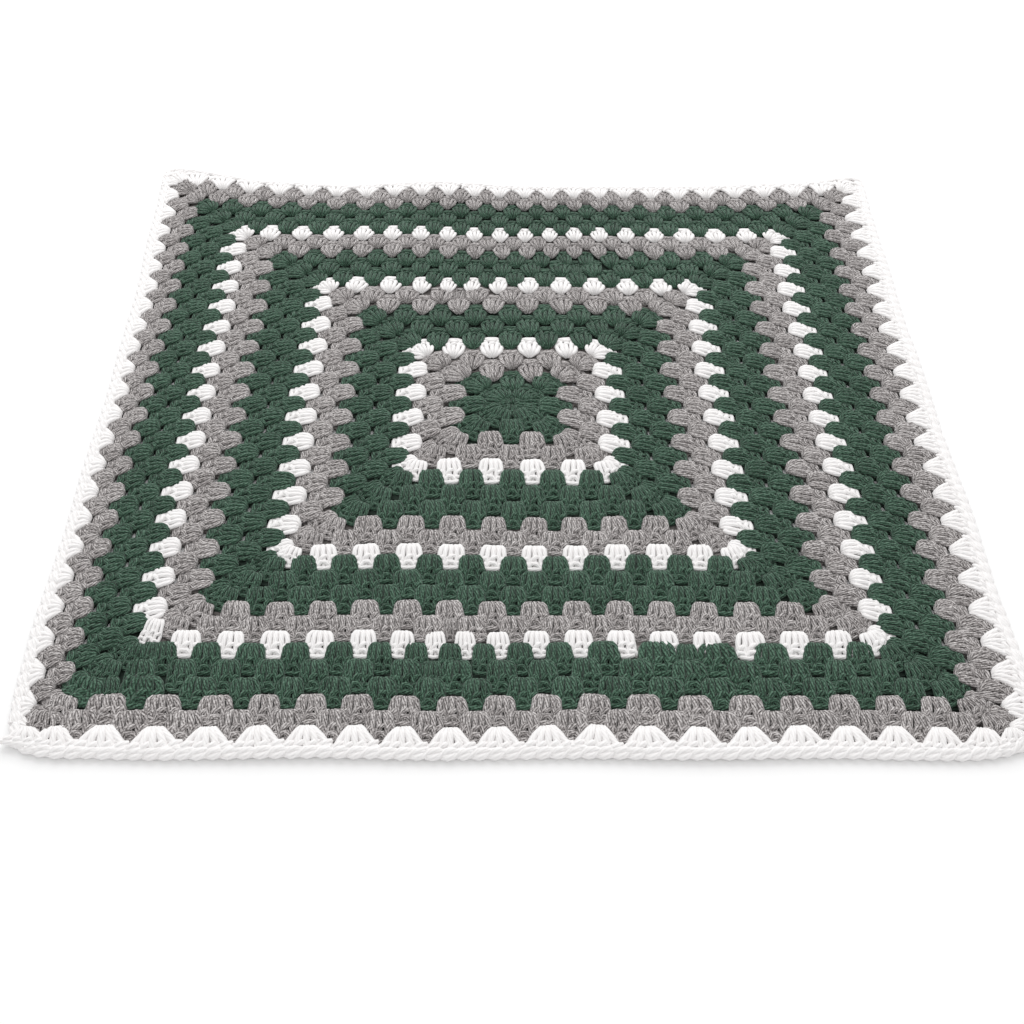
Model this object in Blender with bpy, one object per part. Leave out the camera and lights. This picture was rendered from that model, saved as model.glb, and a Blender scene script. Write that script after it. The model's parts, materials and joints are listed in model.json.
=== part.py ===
"""A crochet granny square blanket: one cloth, worked from its centre outwards in square rounds.

Every round is a row of three-stitch clusters. A cluster sits in the space between two clusters of
the round below, and two share each corner space. The solid has the cloth's uneven outline, a raised
ridge for each round, the chain edging and the larger see-through gaps. All sizes are in metres.
"""

from math import cos, pi, sin

import bmesh
import bpy
from mathutils import Vector
from mathutils.geometry import delaunay_2d_cdt

# Rounds, and how high a green, a grey and a white row is in each repeat from the centre outwards
ROUNDS = 24
REPEAT_COLOURS = (0, 0, 0, 1, 1, 2)
ROW_HEIGHTS = (
    (0.01795, 0.01795, 0.01345),
    (0.01945, 0.01795, 0.01345),
    (0.01945, 0.01795, 0.01345),
    (0.01845, 0.01565, 0.01365),
)
EDGING_WIDTH = 0.0040

# Thickness of the cloth
CREST_HEIGHT = 0.0082
VALLEY_HEIGHT = 0.0058
CENTRE_HEIGHT = 0.0062
EDGING_HEIGHT = 0.0068
RIM_HEIGHT = 0.0052
UNEVENNESS = 0.0005

# A round's trough lies inside the line where its row begins, because its stitches reach in over the
# round below. Its ridge lies at a share of the way to the next trough.
VALLEY_BACK = 0.0150
CREST_SHARE = 0.65

# The first two rounds rise from the centre to one ridge
FIRST_TROUGH_ROUND = 3

# Gaps cut through, in every second round and at every second space of it
FIRST_GAP_ROUND = 3
GAP_STEP = 2
GAP_HALF_LENGTH = 0.0049
GAP_HALF_WIDTH = 0.0023
GAP_SIDES = 6
CORNER_GAP_RADIUS = 0.0052
CORNER_GAP_SIDES = 8

# An added cluster crowds its neighbours, and each round then shares the crowding out a little more
PAIR_SPREAD = 0.28
SHARINGS = 2

# Clusters that the maker added to a row or left out of it.
# side, round, place along the side from -1 to 1, clusters added
MISCOUNTS = (
    ("near", 18, -0.19, 1),
    ("near", 19, 0.45, -1),
    ("near", 20, -0.20, -1),
    ("near", 21, -0.88, -1),
    ("far", 12, -0.20, 1),
    ("far", 15, 0.30, 1),
)

# How far the left and the right lie out of true: rounds pushed out, rim drawn in, far corner spread
CORE = 0.17
LEFT_LAY = (0.012, 0.0245, 0.0165)
RIGHT_LAY = (0.009, 0.0015, 0.008)

# From near to far only the middle rounds swell, and the rim is drawn in
SWELL_PLACE = 0.40
SWELL_WIDTH = 0.35
NEAR_SWELL = 0.008
FAR_SWELL = 0.006
NEAR_DRAW = 0.003
FAR_DRAW = 0.016
FAR_FLARE = 1.2

# Bumps along the far edge: place from -1 to 1, width, height
FAR_BUMPS = ((-0.22, 0.24, 0.008), (-0.92, 0.25, 0.020), (0.97, 0.14, 0.010))

NEAR_CORNER_ROUNDING = 0.0135
NEAR_CORNER_REACH = 0.075
FAR_CORNER_ROUNDING = 0.006
FAR_CORNER_REACH = 0.03

# Soft waves that run across the cloth: waves per metre along x and y, phase in turns
SWAY = 0.0008
ACROSS_WAVE = (2.1, 5.3, 0.11)
ALONG_WAVE = (4.9, -1.7, 0.34)
HEIGHT_WAVE = (3.1, 4.3, 0.62)

# Steps along the outline, finer towards the corners
OUTLINE_STEPS = 44
OUTLINE_CROWDING = 0.35

GREEN = (0.030, 0.105, 0.064, 1.0)
YARN_ROUGHNESS = 0.9

# side, direction along it, direction out of it
SIDES = {
    "near": (Vector((1, 0)), Vector((0, -1))),
    "right": (Vector((0, 1)), Vector((1, 0))),
    "far": (Vector((1, 0)), Vector((0, 1))),
    "left": (Vector((0, 1)), Vector((-1, 0))),
}
CORNERS = ((-1, -1), (1, -1), (1, 1), (-1, 1))


def row_height(number):
    repeat, place = divmod(number - 1, len(REPEAT_COLOURS))
    return ROW_HEIGHTS[repeat][REPEAT_COLOURS[place]]


def reach(number):
    """Distance from the centre to the outer line of a round."""
    return sum(row_height(each) for each in range(1, number + 1))


OUTER = reach(ROUNDS) + EDGING_WIDTH


def next_row(below, number, side):
    """Places of a round's clusters along one side, over the spaces of the row below."""
    end = reach(number - 1)
    spots = [-end] + [(a + b) / 2 for a, b in zip(below, below[1:])] + [end]
    for where, when, place, added in MISCOUNTS:
        if (where, when) != (side, number):
            continue
        nearest = min(range(1, len(spots) - 1), key=lambda i: abs(spots[i] - place * end))
        apart = PAIR_SPREAD * (spots[nearest + 1] - spots[nearest])
        pair = [spots[nearest] - apart, spots[nearest] + apart]
        spots[nearest:nearest + 1] = pair if added > 0 else []
    for _ in range(SHARINGS):
        middles = [(a + 2 * b + c) / 4 for a, b, c in zip(spots, spots[1:], spots[2:])]
        spots = [-end] + middles + [end]
    return spots


def rows_of_side(side):
    rows = {1: [0.0]}
    for number in range(2, ROUNDS + 1):
        rows[number] = next_row(rows[number - 1], number, side)
    return rows


def flat_point(side, along, out):
    """A point of the regular square, before it is laid out of true."""
    along_way, out_way = SIDES[side]
    return along_way * along + out_way * out


def fade(distance, width):
    """Falls from 1 at no distance to 0 at the width."""
    return max(0.0, 1.0 - distance / width) ** 2


def wave(point, shape):
    """A soft wave over the cloth, from -1 to 1."""
    across, along, phase = shape
    return sin(2 * pi * (across * point.x + along * point.y + phase))


def laid(point):
    """Where a point of the regular square comes to lie on the real cloth."""
    u = point.x / OUTER
    v = point.y / OUTER
    ring = max(abs(u), abs(v))
    push, draw, spread = LEFT_LAY if u < 0 else RIGHT_LAY
    dx = push * u / max(ring, CORE) - draw * u * abs(u) ** 7
    dx += spread * u * abs(u) ** 3 * max(v, 0.0) ** 2
    swell = fade((ring - SWELL_PLACE) ** 2, SWELL_WIDTH ** 2) / max(ring, CORE)
    if v < 0:
        dy = NEAR_SWELL * swell * v + NEAR_DRAW * v ** 8
    else:
        bumps = sum(high * fade((u - place) ** 2, wide ** 2) for place, wide, high in FAR_BUMPS)
        dy = FAR_SWELL * swell * v + v ** 6 * (bumps - FAR_DRAW * (1.0 - FAR_FLARE * abs(u) ** 3))
    dx += SWAY * wave(point, ACROSS_WAVE)
    dy += SWAY * wave(point, ALONG_WAVE)
    from_corner = (1.0 - abs(u) + 1.0 - abs(v)) * OUTER
    if v < 0:
        pull = NEAR_CORNER_ROUNDING * fade(from_corner, NEAR_CORNER_REACH)
    else:
        pull = FAR_CORNER_ROUNDING * fade(from_corner, FAR_CORNER_REACH)
    pull_x = -pull if u > 0 else pull
    pull_y = -pull if v > 0 else pull
    return Vector((point.x + dx + pull_x, point.y + dy + pull_y))


def valley_line(number):
    return reach(number - 1) - VALLEY_BACK


def crest_line(number):
    return valley_line(number) + CREST_SHARE * row_height(number)


def cross_section():
    """Distance out and height at each ridge and trough, from the centre to the rim."""
    section = [(0.0, CENTRE_HEIGHT), (crest_line(2), CREST_HEIGHT)]
    for number in range(FIRST_TROUGH_ROUND, ROUNDS + 1):
        section.append((valley_line(number), VALLEY_HEIGHT))
        section.append((crest_line(number), CREST_HEIGHT))
    section.append((reach(ROUNDS), EDGING_HEIGHT))
    section.append((OUTER, RIM_HEIGHT))
    return section


SECTION = cross_section()


def top_height(point):
    """Height of the cloth's face at a point of the regular square."""
    out = min(max(abs(point.x), abs(point.y)), OUTER)
    spans = zip(SECTION, SECTION[1:])
    (inner, low), (outer, high) = next(span for span in spans if out <= span[1][0])
    height = low + (high - low) * (out - inner) / (outer - inner)
    return height + UNEVENNESS * wave(point, HEIGHT_WAVE)


class Plan:
    """Points of the flat square, the lines that join them, and the gaps among them."""

    def __init__(self):
        self.points = []
        self.lines = []
        self.loops = []

    def add(self, point):
        self.points.append(point)
        return len(self.points) - 1

    def loop(self, points):
        """Joins points in a ring, an outline or a gap, and returns their numbers."""
        ring = [self.add(point) for point in points]
        self.lines += list(zip(ring, ring[1:] + ring[:1]))
        self.loops.append(ring)
        return ring


def outline_points():
    """The square's edge, anticlockwise from the near left corner."""
    points = []
    for start, end in zip(CORNERS, CORNERS[1:] + CORNERS[:1]):
        for step in range(OUTLINE_STEPS):
            share = step / OUTLINE_STEPS
            share -= OUTLINE_CROWDING * sin(2 * pi * share) / (2 * pi)
            points.append(Vector(start).lerp(Vector(end), share) * OUTER)
    return points


def ring_round(centre, half_length, half_width, sides):
    angles = [2 * pi * step / sides for step in range(sides)]
    return [centre + Vector((half_length * cos(a), half_width * sin(a))) for a in angles]


def add_corner_gaps(plan, number):
    """One larger gap in each corner space, kept by the corner's direction."""
    gaps = {}
    for corner in CORNERS:
        centre = Vector(corner) * valley_line(number)
        ring = ring_round(centre, CORNER_GAP_RADIUS, CORNER_GAP_RADIUS, CORNER_GAP_SIDES)
        gaps[corner] = plan.loop(ring)
    return gaps


def add_corner_points(plan, out):
    return {corner: plan.add(Vector(corner) * out) for corner in CORNERS}


def corner_stations(corners, side, number):
    """The two ends of a side's trough, as the points where it enters and leaves each corner gap."""
    along_way, out_way = SIDES[side]
    quarter = CORNER_GAP_SIDES // 4
    ahead = 0 if along_way.x else quarter
    behind = ahead + 2 * quarter
    stations = []
    for sign in (-1, 1):
        way = along_way * sign + out_way
        ring = corners[int(way.x), int(way.y)]
        stations.append((sign * valley_line(number), ring[behind], ring[ahead]))
    return stations


def add_side_gap(plan, side, along, out):
    """A gap across the row's direction, with the points where the trough enters and leaves it."""
    ring = ring_round(Vector((along, out)), GAP_HALF_LENGTH, GAP_HALF_WIDTH, GAP_SIDES)
    loop = plan.loop([flat_point(side, point.x, point.y) for point in ring])
    return along, loop[GAP_SIDES // 2], loop[0]


def add_line(plan, stations):
    stations.sort()
    for (_, _, leave), (_, enter, _) in zip(stations, stations[1:]):
        plan.lines.append((leave, enter))


def add_trough(plan, rows, number):
    """The low line at the start of a round, with its gaps where the round has them."""
    out = valley_line(number)
    open_round = number >= FIRST_GAP_ROUND and (number - FIRST_GAP_ROUND) % GAP_STEP == 0
    if open_round:
        corners = add_corner_gaps(plan, number)
    else:
        corners = add_corner_points(plan, out)
    for side in SIDES:
        spots = rows[side][number]
        if open_round:
            stations = corner_stations(corners, side, number)
            opened = range(GAP_STEP, len(spots) - GAP_STEP, GAP_STEP)
            stations += [add_side_gap(plan, side, spots[i], out) for i in opened]
        else:
            stations = plain_stations(plan, side, spots, out, corners)
        add_line(plan, stations)


def plain_stations(plan, side, spots, out, corners):
    """Points of a line with no gaps, two spaces apart, between two corner points."""
    along_way, out_way = SIDES[side]
    stations = []
    for sign in (-1, 1):
        way = along_way * sign + out_way
        corner = corners[int(way.x), int(way.y)]
        stations.append((sign * out, corner, corner))
    for i in range(1, len(spots) - 1, GAP_STEP):
        point = plan.add(flat_point(side, spots[i], out))
        stations.append((spots[i], point, point))
    return stations


def add_square_line(plan, rows, number, out):
    """A ridge, or any other line that runs round the square without gaps."""
    corners = add_corner_points(plan, out)
    for side in SIDES:
        add_line(plan, plain_stations(plan, side, rows[side][number], out, corners))


def draw_plan():
    """The whole face: the outline first, then the gaps and lines of each round."""
    plan = Plan()
    plan.loop(outline_points())
    rows = {side: rows_of_side(side) for side in SIDES}
    plan.add(Vector((0, 0)))
    for number in range(2, ROUNDS + 1):
        if number >= FIRST_TROUGH_ROUND:
            add_trough(plan, rows, number)
        add_square_line(plan, rows, number, crest_line(number))
    add_square_line(plan, rows, ROUNDS, reach(ROUNDS))
    return plan


def triangles_between(points, lines, loops):
    """Triangles inside the outline that respect every line and leave the gaps free."""
    owner = {}
    for name, loop in enumerate(loops[1:]):
        for index in loop:
            owner[index] = name
    made = delaunay_2d_cdt([laid(point) for point in points], lines, [], 1, 1e-7)
    source = [ids[0] for ids in made[3]]
    triangles = []
    for face in made[2]:
        corners = [source[index] for index in face]
        owners = {owner.get(index, -1 - index) for index in corners}
        if len(owners) > 1:
            triangles.append(corners)
    return triangles


def add_face_layer(mesh, plan, points, lines, height_of):
    """One face of the cloth, with its triangles."""
    verts = []
    for point in points:
        place = laid(point)
        verts.append(mesh.verts.new((place.x, place.y, height_of(point))))
    for corners in triangles_between(points, lines, plan.loops):
        mesh.faces.new([verts[index] for index in corners])
    return verts


def underside_plan(plan):
    """Only the outline and the gaps reach the flat underside."""
    kept = {}
    points = []
    for loop in plan.loops:
        for index in loop:
            kept[index] = len(points)
            points.append(plan.points[index])
    loops = [[kept[index] for index in loop] for loop in plan.loops]
    lines = [pair for loop in loops for pair in zip(loop, loop[1:] + loop[:1])]
    below = Plan()
    below.points, below.lines, below.loops = points, lines, loops
    return below


def blanket_mesh():
    """The cloth: its ridged face, its flat underside, and walls round the edge and the gaps."""
    plan = draw_plan()
    below = underside_plan(plan)
    mesh = bmesh.new()
    top = add_face_layer(mesh, plan, plan.points, plan.lines, top_height)
    bottom = add_face_layer(mesh, below, below.points, below.lines, lambda point: 0.0)
    for high, low in zip(plan.loops, below.loops):
        for i, index in enumerate(high):
            after = (i + 1) % len(high)
            corners = [top[index], top[high[after]], bottom[low[after]], bottom[low[i]]]
            mesh.faces.new(corners)
    loose = [vert for vert in mesh.verts if not vert.link_faces]
    bmesh.ops.delete(mesh, geom=loose, context="VERTS")
    bmesh.ops.recalc_face_normals(mesh, faces=mesh.faces)
    return mesh


def centre_on_origin(mesh):
    """Puts the middle of the cloth's box over the origin."""
    across = [vert.co.x for vert in mesh.verts]
    deep = [vert.co.y for vert in mesh.verts]
    middle = Vector((min(across) + max(across), min(deep) + max(deep), 0.0)) / 2
    bmesh.ops.translate(mesh, verts=mesh.verts, vec=-middle)


def yarn_material(name, colour):
    material = bpy.data.materials.new(name)
    material.use_nodes = True
    shader = material.node_tree.nodes["Principled BSDF"]
    shader.inputs["Base Color"].default_value = colour
    shader.inputs["Roughness"].default_value = YARN_ROUGHNESS
    shader.inputs["Metallic"].default_value = 0.0
    return material


def build_blanket():
    collection = bpy.data.collections.new("Granny square blanket")
    bpy.context.scene.collection.children.link(collection)
    mesh = blanket_mesh()
    centre_on_origin(mesh)
    data = bpy.data.meshes.new("blanket")
    mesh.to_mesh(data)
    mesh.free()
    data.materials.append(yarn_material("green yarn", GREEN))
    blanket = bpy.data.objects.new("blanket", data)
    collection.objects.link(blanket)
    return blanket


for old in list(bpy.data.objects):
    bpy.data.objects.remove(old, do_unlink=True)

build_blanket()
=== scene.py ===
# %% [markdown]
# # A crochet granny square blanket
# The real blanket is one cloth of thick yarn, worked with a hook from its centre outwards. Every
# round is a row of clusters, and a cluster is three tall stitches in one space of the round below.
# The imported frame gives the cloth's true outline and thickness, and this script adds the stitches.

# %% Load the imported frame
import json
import random
from math import atan2, pi, radians

import bmesh
import bpy
import numpy as np
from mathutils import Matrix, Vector

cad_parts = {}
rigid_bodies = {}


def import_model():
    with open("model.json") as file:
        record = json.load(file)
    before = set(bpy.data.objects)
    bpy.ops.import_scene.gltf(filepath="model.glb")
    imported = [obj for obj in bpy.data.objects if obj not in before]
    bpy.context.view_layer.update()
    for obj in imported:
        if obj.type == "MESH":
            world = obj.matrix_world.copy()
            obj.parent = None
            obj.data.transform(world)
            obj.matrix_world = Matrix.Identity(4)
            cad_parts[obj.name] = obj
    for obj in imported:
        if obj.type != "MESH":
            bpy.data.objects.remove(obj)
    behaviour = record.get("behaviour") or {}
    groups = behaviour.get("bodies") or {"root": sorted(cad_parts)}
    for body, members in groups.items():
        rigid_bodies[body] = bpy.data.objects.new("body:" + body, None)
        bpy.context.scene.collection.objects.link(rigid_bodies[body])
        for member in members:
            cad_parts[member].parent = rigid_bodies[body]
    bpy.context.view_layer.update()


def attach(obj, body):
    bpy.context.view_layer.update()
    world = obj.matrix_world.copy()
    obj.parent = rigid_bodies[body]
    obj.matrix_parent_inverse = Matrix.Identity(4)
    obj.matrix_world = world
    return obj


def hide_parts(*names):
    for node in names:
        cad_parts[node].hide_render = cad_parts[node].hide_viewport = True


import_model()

# %% [markdown]
# ## The rows and where their clusters sit
# A granny square grows by a rule: each cluster sits over the space between two clusters below it,
# and each corner space holds two. A loop can follow the same rule, so no cluster is placed by hand.
# The maker of this blanket miscounted in a few places, and a short table adds those.

# %% Sizes of the rows
ROUNDS = 24
REPEATS = 4
EDGING_WIDTH = 0.0040

# Each repeat of the colours has three rounds of green, two of grey and one of white
BAND_PATTERN = (("green", 3), ("grey", 2), ("white", 1))
REPEAT_COLOURS = [colour for colour, height in BAND_PATTERN for _ in range(height)]

# How high a row of each colour is in each repeat, from the centre outwards
ROW_HEIGHTS = (
    {"green": 0.01795, "grey": 0.01795, "white": 0.01345},
    {"green": 0.01945, "grey": 0.01795, "white": 0.01345},
    {"green": 0.01945, "grey": 0.01795, "white": 0.01345},
    {"green": 0.01845, "grey": 0.01565, "white": 0.01365},
)

# The colour and the rounds of each band
BANDS = []
for colour, height in BAND_PATTERN * REPEATS:
    first = BANDS[-1][1][-1] + 1 if BANDS else 1
    BANDS.append((colour, range(first, first + height)))


def row_height(number):
    repeat, place = divmod(number - 1, len(REPEAT_COLOURS))
    return ROW_HEIGHTS[repeat][REPEAT_COLOURS[place]]


def reach(number):
    """Distance from the centre to the outer line of a round."""
    return sum(row_height(each) for each in range(1, number + 1))


OUTER = reach(ROUNDS) + EDGING_WIDTH
print("a side of the regular square", round(2 * OUTER, 4), "m")

# %% Sides and miscounts
# side, direction along it, direction out of it
SIDES = {
    "near": (np.array((1.0, 0.0)), np.array((0.0, -1.0))),
    "right": (np.array((0.0, 1.0)), np.array((1.0, 0.0))),
    "far": (np.array((1.0, 0.0)), np.array((0.0, 1.0))),
    "left": (np.array((0.0, 1.0)), np.array((-1.0, 0.0))),
}

# side, round, place along the side from -1 to 1, clusters added
MISCOUNTS = (
    ("near", 18, -0.19, 1),
    ("near", 19, 0.45, -1),
    ("near", 20, -0.20, -1),
    ("near", 21, -0.88, -1),
    ("far", 12, -0.20, 1),
    ("far", 15, 0.30, 1),
)

# Two clusters in one space stand this share of a gap to its left and right, and the row then shares
# its gaps out this many times
PAIR_SPREAD = 0.28
SHARINGS = 2
print("miscounts", len(MISCOUNTS))


# %% Clusters along each side
def next_row(below, number, side):
    """Places of a round's clusters along one side, over the spaces of the row below."""
    end = reach(number - 1)
    spots = [-end] + [(a + b) / 2 for a, b in zip(below, below[1:])] + [end]
    for where, when, place, added in MISCOUNTS:
        if (where, when) != (side, number):
            continue
        nearest = min(range(1, len(spots) - 1), key=lambda i: abs(spots[i] - place * end))
        apart = PAIR_SPREAD * (spots[nearest + 1] - spots[nearest])
        pair = [spots[nearest] - apart, spots[nearest] + apart]
        spots[nearest:nearest + 1] = pair if added > 0 else []
    for _ in range(SHARINGS):
        middles = [(a + 2 * b + c) / 4 for a, b, c in zip(spots, spots[1:], spots[2:])]
        spots = [-end] + middles + [end]
    return spots


def rows_of_side(side):
    rows = {1: [0.0]}
    for number in range(2, ROUNDS + 1):
        rows[number] = next_row(rows[number - 1], number, side)
    return rows


ROWS = {side: rows_of_side(side) for side in SIDES}
print("clusters by the rule", sum(len(row) for rows in ROWS.values() for row in rows.values()))

# %% [markdown]
# ## How the square lies out of true
# Hand-made cloth is never a perfect square. The far edge is drawn in, the far corners flare, and
# the near corners are round. A lattice could bend the finished cloth, but it would squash the
# stitches with it. So one function moves any point of the regular square to its place on the cloth,
# and the rows, the slits and the edging all bend together.

# %% How far the cloth lies out of true
# How far the left and the right lie out of true: rounds pushed out, rim drawn in, far corner spread
CORE = 0.17
LEFT_LAY = (0.012, 0.0245, 0.0165)
RIGHT_LAY = (0.009, 0.0015, 0.008)

# From near to far only the middle rounds swell, and the rim is drawn in
SWELL_PLACE = 0.40
SWELL_WIDTH = 0.35
NEAR_SWELL = 0.008
FAR_SWELL = 0.006
NEAR_DRAW = 0.003
FAR_DRAW = 0.016
FAR_FLARE = 1.2

# How sharply each of these grows towards the rim
LEFT_RIGHT_DRAW_POWER = 7
SPREAD_POWER = 3
NEAR_DRAW_POWER = 8
FAR_DRAW_POWER = 6
FLARE_POWER = 3

# Bumps along the far edge: place from -1 to 1, width, height
FAR_BUMPS = ((-0.22, 0.24, 0.008), (-0.92, 0.25, 0.020), (0.97, 0.14, 0.010))

NEAR_CORNER_ROUNDING = 0.0135
NEAR_CORNER_REACH = 0.075
FAR_CORNER_ROUNDING = 0.006
FAR_CORNER_REACH = 0.03

# Soft waves that run across the cloth: waves per metre along x and y, phase in turns
SWAY = 0.0008
ACROSS_WAVE = (2.1, 5.3, 0.11)
ALONG_WAVE = (4.9, -1.7, 0.34)
HEIGHT_WAVE = (3.1, 4.3, 0.62)
UNEVENNESS = 0.0005

# Points along each side where the outline is measured
MEASURED_STEPS = 400
print("bumps along the far edge", len(FAR_BUMPS))


# %% Lay the square out of true
def wave(points, shape):
    """A soft wave over the cloth, from -1 to 1."""
    across, along, phase = shape
    return np.sin(2 * pi * (across * points[..., 0] + along * points[..., 1] + phase))


def fade(distance, width):
    """Falls from 1 at no distance to 0 at the width."""
    return np.maximum(0.0, 1.0 - distance / width) ** 2


def bent(points):
    """Points of the regular square, moved to where they lie on the real cloth."""
    points = np.asarray(points, float)
    u = points[..., 0] / OUTER
    v = points[..., 1] / OUTER
    ring = np.maximum(abs(u), abs(v))
    sides_lay = [np.where(u < 0, left, right) for left, right in zip(LEFT_LAY, RIGHT_LAY)]
    push, draw_in, spread = sides_lay
    dx = push * u / np.maximum(ring, CORE) - draw_in * u * abs(u) ** LEFT_RIGHT_DRAW_POWER
    dx += spread * u * abs(u) ** SPREAD_POWER * np.maximum(v, 0.0) ** 2
    swell = fade((ring - SWELL_PLACE) ** 2, SWELL_WIDTH ** 2) / np.maximum(ring, CORE)
    bumps = sum(high * fade((u - place) ** 2, wide ** 2) for place, wide, high in FAR_BUMPS)
    near_shift = NEAR_SWELL * swell * v + NEAR_DRAW * v ** NEAR_DRAW_POWER
    rim_shift = bumps - FAR_DRAW * (1.0 - FAR_FLARE * abs(u) ** FLARE_POWER)
    far_shift = FAR_SWELL * swell * v + v ** FAR_DRAW_POWER * rim_shift
    dy = np.where(v < 0, near_shift, far_shift)
    dx += SWAY * wave(points, ACROSS_WAVE)
    dy += SWAY * wave(points, ALONG_WAVE)
    from_corner = (2.0 - abs(u) - abs(v)) * OUTER
    near_pull = NEAR_CORNER_ROUNDING * fade(from_corner, NEAR_CORNER_REACH)
    far_pull = FAR_CORNER_ROUNDING * fade(from_corner, FAR_CORNER_REACH)
    pull = np.where(v < 0, near_pull, far_pull)
    return points + np.stack([dx - np.sign(u) * pull, dy - np.sign(v) * pull], -1)


def square_line(out, steps):
    """Points round a square, anticlockwise, at a distance out from its centre."""
    corners = [np.array(c, float) * out for c in ((-1, -1), (1, -1), (1, 1), (-1, 1))]
    shares = np.arange(steps)[:, None] / steps
    ends = corners[1:] + corners[:1]
    return np.concatenate([a + (b - a) * shares for a, b in zip(corners, ends)])


rim = bent(square_line(OUTER, MEASURED_STEPS))
MIDDLE = (rim.min(axis=0) + rim.max(axis=0)) / 2


def laid(points):
    """Points of the regular square, laid on the cloth with its box over the origin."""
    return bent(points) - MIDDLE


laid_rim = laid(square_line(OUTER, MEASURED_STEPS))
print("outline", laid_rim.min(axis=0), "to", laid_rim.max(axis=0))

# %% [markdown]
# ## The camera
# The camera stands in front of the near edge and looks down at the cloth at about 45 degrees. The
# corners of the white rounds gave its place and focal length, because the rule of a granny square
# fixes how far apart they are.

# %% Camera
CAMERA_PLACE = (-0.0193, -1.0029, 0.8900)
CAMERA_TURN = (43.97, -0.74, -0.46)
FOCAL_LENGTH_PX = 1316
IMAGE_WIDTH_PX = 1024
SENSOR_WIDTH = 36.0

camera_data = bpy.data.cameras.new("camera")
camera_data.sensor_width = SENSOR_WIDTH
camera_data.lens = FOCAL_LENGTH_PX / IMAGE_WIDTH_PX * SENSOR_WIDTH
camera = bpy.data.objects.new("camera", camera_data)
bpy.context.scene.collection.objects.link(camera)
camera.location = Vector(CAMERA_PLACE) - Vector((*MIDDLE, 0.0))
camera.rotation_euler = [radians(angle) for angle in CAMERA_TURN]
bpy.context.scene.camera = camera
print("lens", round(camera_data.lens, 1), "mm")

# %% [markdown]
# ## The paths of the yarn in one cluster
# The foot of a cluster comes out of the slit below, arches up over the round below as fat soft
# strands and fans outwards. Short wraps cross the strands, and a V of chain lies on top of each
# stitch. Paths for the middle of each strand are enough here: a node tree gives them their
# thickness later. A few versions with small random shifts keep the clusters from looking stamped.

# %% Courses of the strands
STITCH = 0.01795
PATTERN_VERSIONS = 8
PATTERN_SEED = 11

# How far chance moves a post and changes its height, and how far it moves a short strand along the
# cluster, in metres, and out, in stitch heights
POST_SHIFT = 0.0003
POST_UNEVENNESS = 0.05
SHORT_SHIFT = 0.0005
SHORT_DRIFT = 0.03

# out in stitch heights, half the cluster's width, height of the middle strands, how much lower the
# outer strands lie, thickness
POST_PLACES = (-1.0, -0.5, 0.0, 0.5, 1.0)
POST_COURSE = (
    (-0.76, 0.0010, 0.0026, 0.0000, 0.54),
    (-0.68, 0.0042, 0.0050, 0.0002, 0.84),
    (-0.58, 0.0072, 0.0070, 0.0006, 0.94),
    (-0.38, 0.0090, 0.0080, 0.0013, 0.97),
    (-0.06, 0.0099, 0.0074, 0.0019, 0.97),
    (0.36, 0.0110, 0.0056, 0.0020, 0.98),
    (0.82, 0.0116, 0.0024, 0.0004, 0.86),
)

# along, out in stitch heights, height, thickness
WRAP_COURSE = (
    (-0.0034, 0.13, 0.0060, 0.76),
    (-0.0012, 0.23, 0.0076, 0.94),
    (0.0012, 0.34, 0.0070, 0.94),
    (0.0034, 0.45, 0.0048, 0.76),
)
WRAP_PLACES = (-0.0078, 0.0, 0.0078)

# How fast wraps and tops drop towards the cluster's flanks, per metre
WRAP_SINK = 26.0
TOP_SINK = 18.0

# along, out in stitch heights, height, thickness
TOP_COURSE = (
    (0.0056, 0.86, 0.0032, 0.76),
    (0.0026, 0.60, 0.0058, 0.98),
    (-0.0022, 0.62, 0.0059, 0.98),
    (-0.0052, 0.88, 0.0032, 0.76),
)
TOP_PLACES = (-0.0090, 0.0, 0.0090)
LIP_COURSE = (
    (-0.0108, 0.84, 0.0030, 0.86),
    (-0.0038, 0.94, 0.0031, 1.08),
    (0.0038, 0.94, 0.0031, 1.08),
    (0.0108, 0.84, 0.0030, 0.86),
)
print("posts", len(POST_PLACES), "wraps", len(WRAP_PLACES), "tops", len(TOP_PLACES))

# %% Courses of the last row's clusters, which nothing covers
OPEN_POST_COURSE = (
    (-0.76, 0.0026, 0.0030, 0.0000, 0.60),
    (-0.66, 0.0046, 0.0054, 0.0004, 0.92),
    (-0.46, 0.0066, 0.0070, 0.0010, 1.06),
    (-0.22, 0.0090, 0.0076, 0.0014, 1.10),
    (0.00, 0.0114, 0.0072, 0.0014, 1.14),
    (0.20, 0.0136, 0.0063, 0.0012, 1.18),
    (0.50, 0.0152, 0.0050, 0.0006, 1.10),
)
OPEN_KNOT_COURSE = (
    (-0.0050, 0.16, 0.0050, 0.80),
    (-0.0016, 0.28, 0.0068, 1.04),
    (0.0020, 0.38, 0.0066, 1.04),
    (0.0052, 0.48, 0.0046, 0.82),
)
OPEN_KNOT_PLACES = (-0.0138, -0.0046, 0.0046, 0.0138)
OPEN_CHAIN_COURSE = (
    (-0.0190, 0.48, 0.0055, 1.20),
    (-0.0062, 0.58, 0.0052, 1.16),
    (0.0062, 0.58, 0.0052, 1.16),
    (0.0190, 0.48, 0.0055, 1.20),
)

# A second chain under the first closes the hollow behind the edging
OPEN_FOOT_COURSE = (
    (-0.0190, 0.42, 0.0036, 1.05),
    (-0.0062, 0.42, 0.0030, 1.10),
    (0.0062, 0.42, 0.0030, 1.10),
    (0.0190, 0.42, 0.0036, 1.05),
)
print("open clusters: posts", len(POST_PLACES), "knots", len(OPEN_KNOT_PLACES), "chains", 2)


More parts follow.
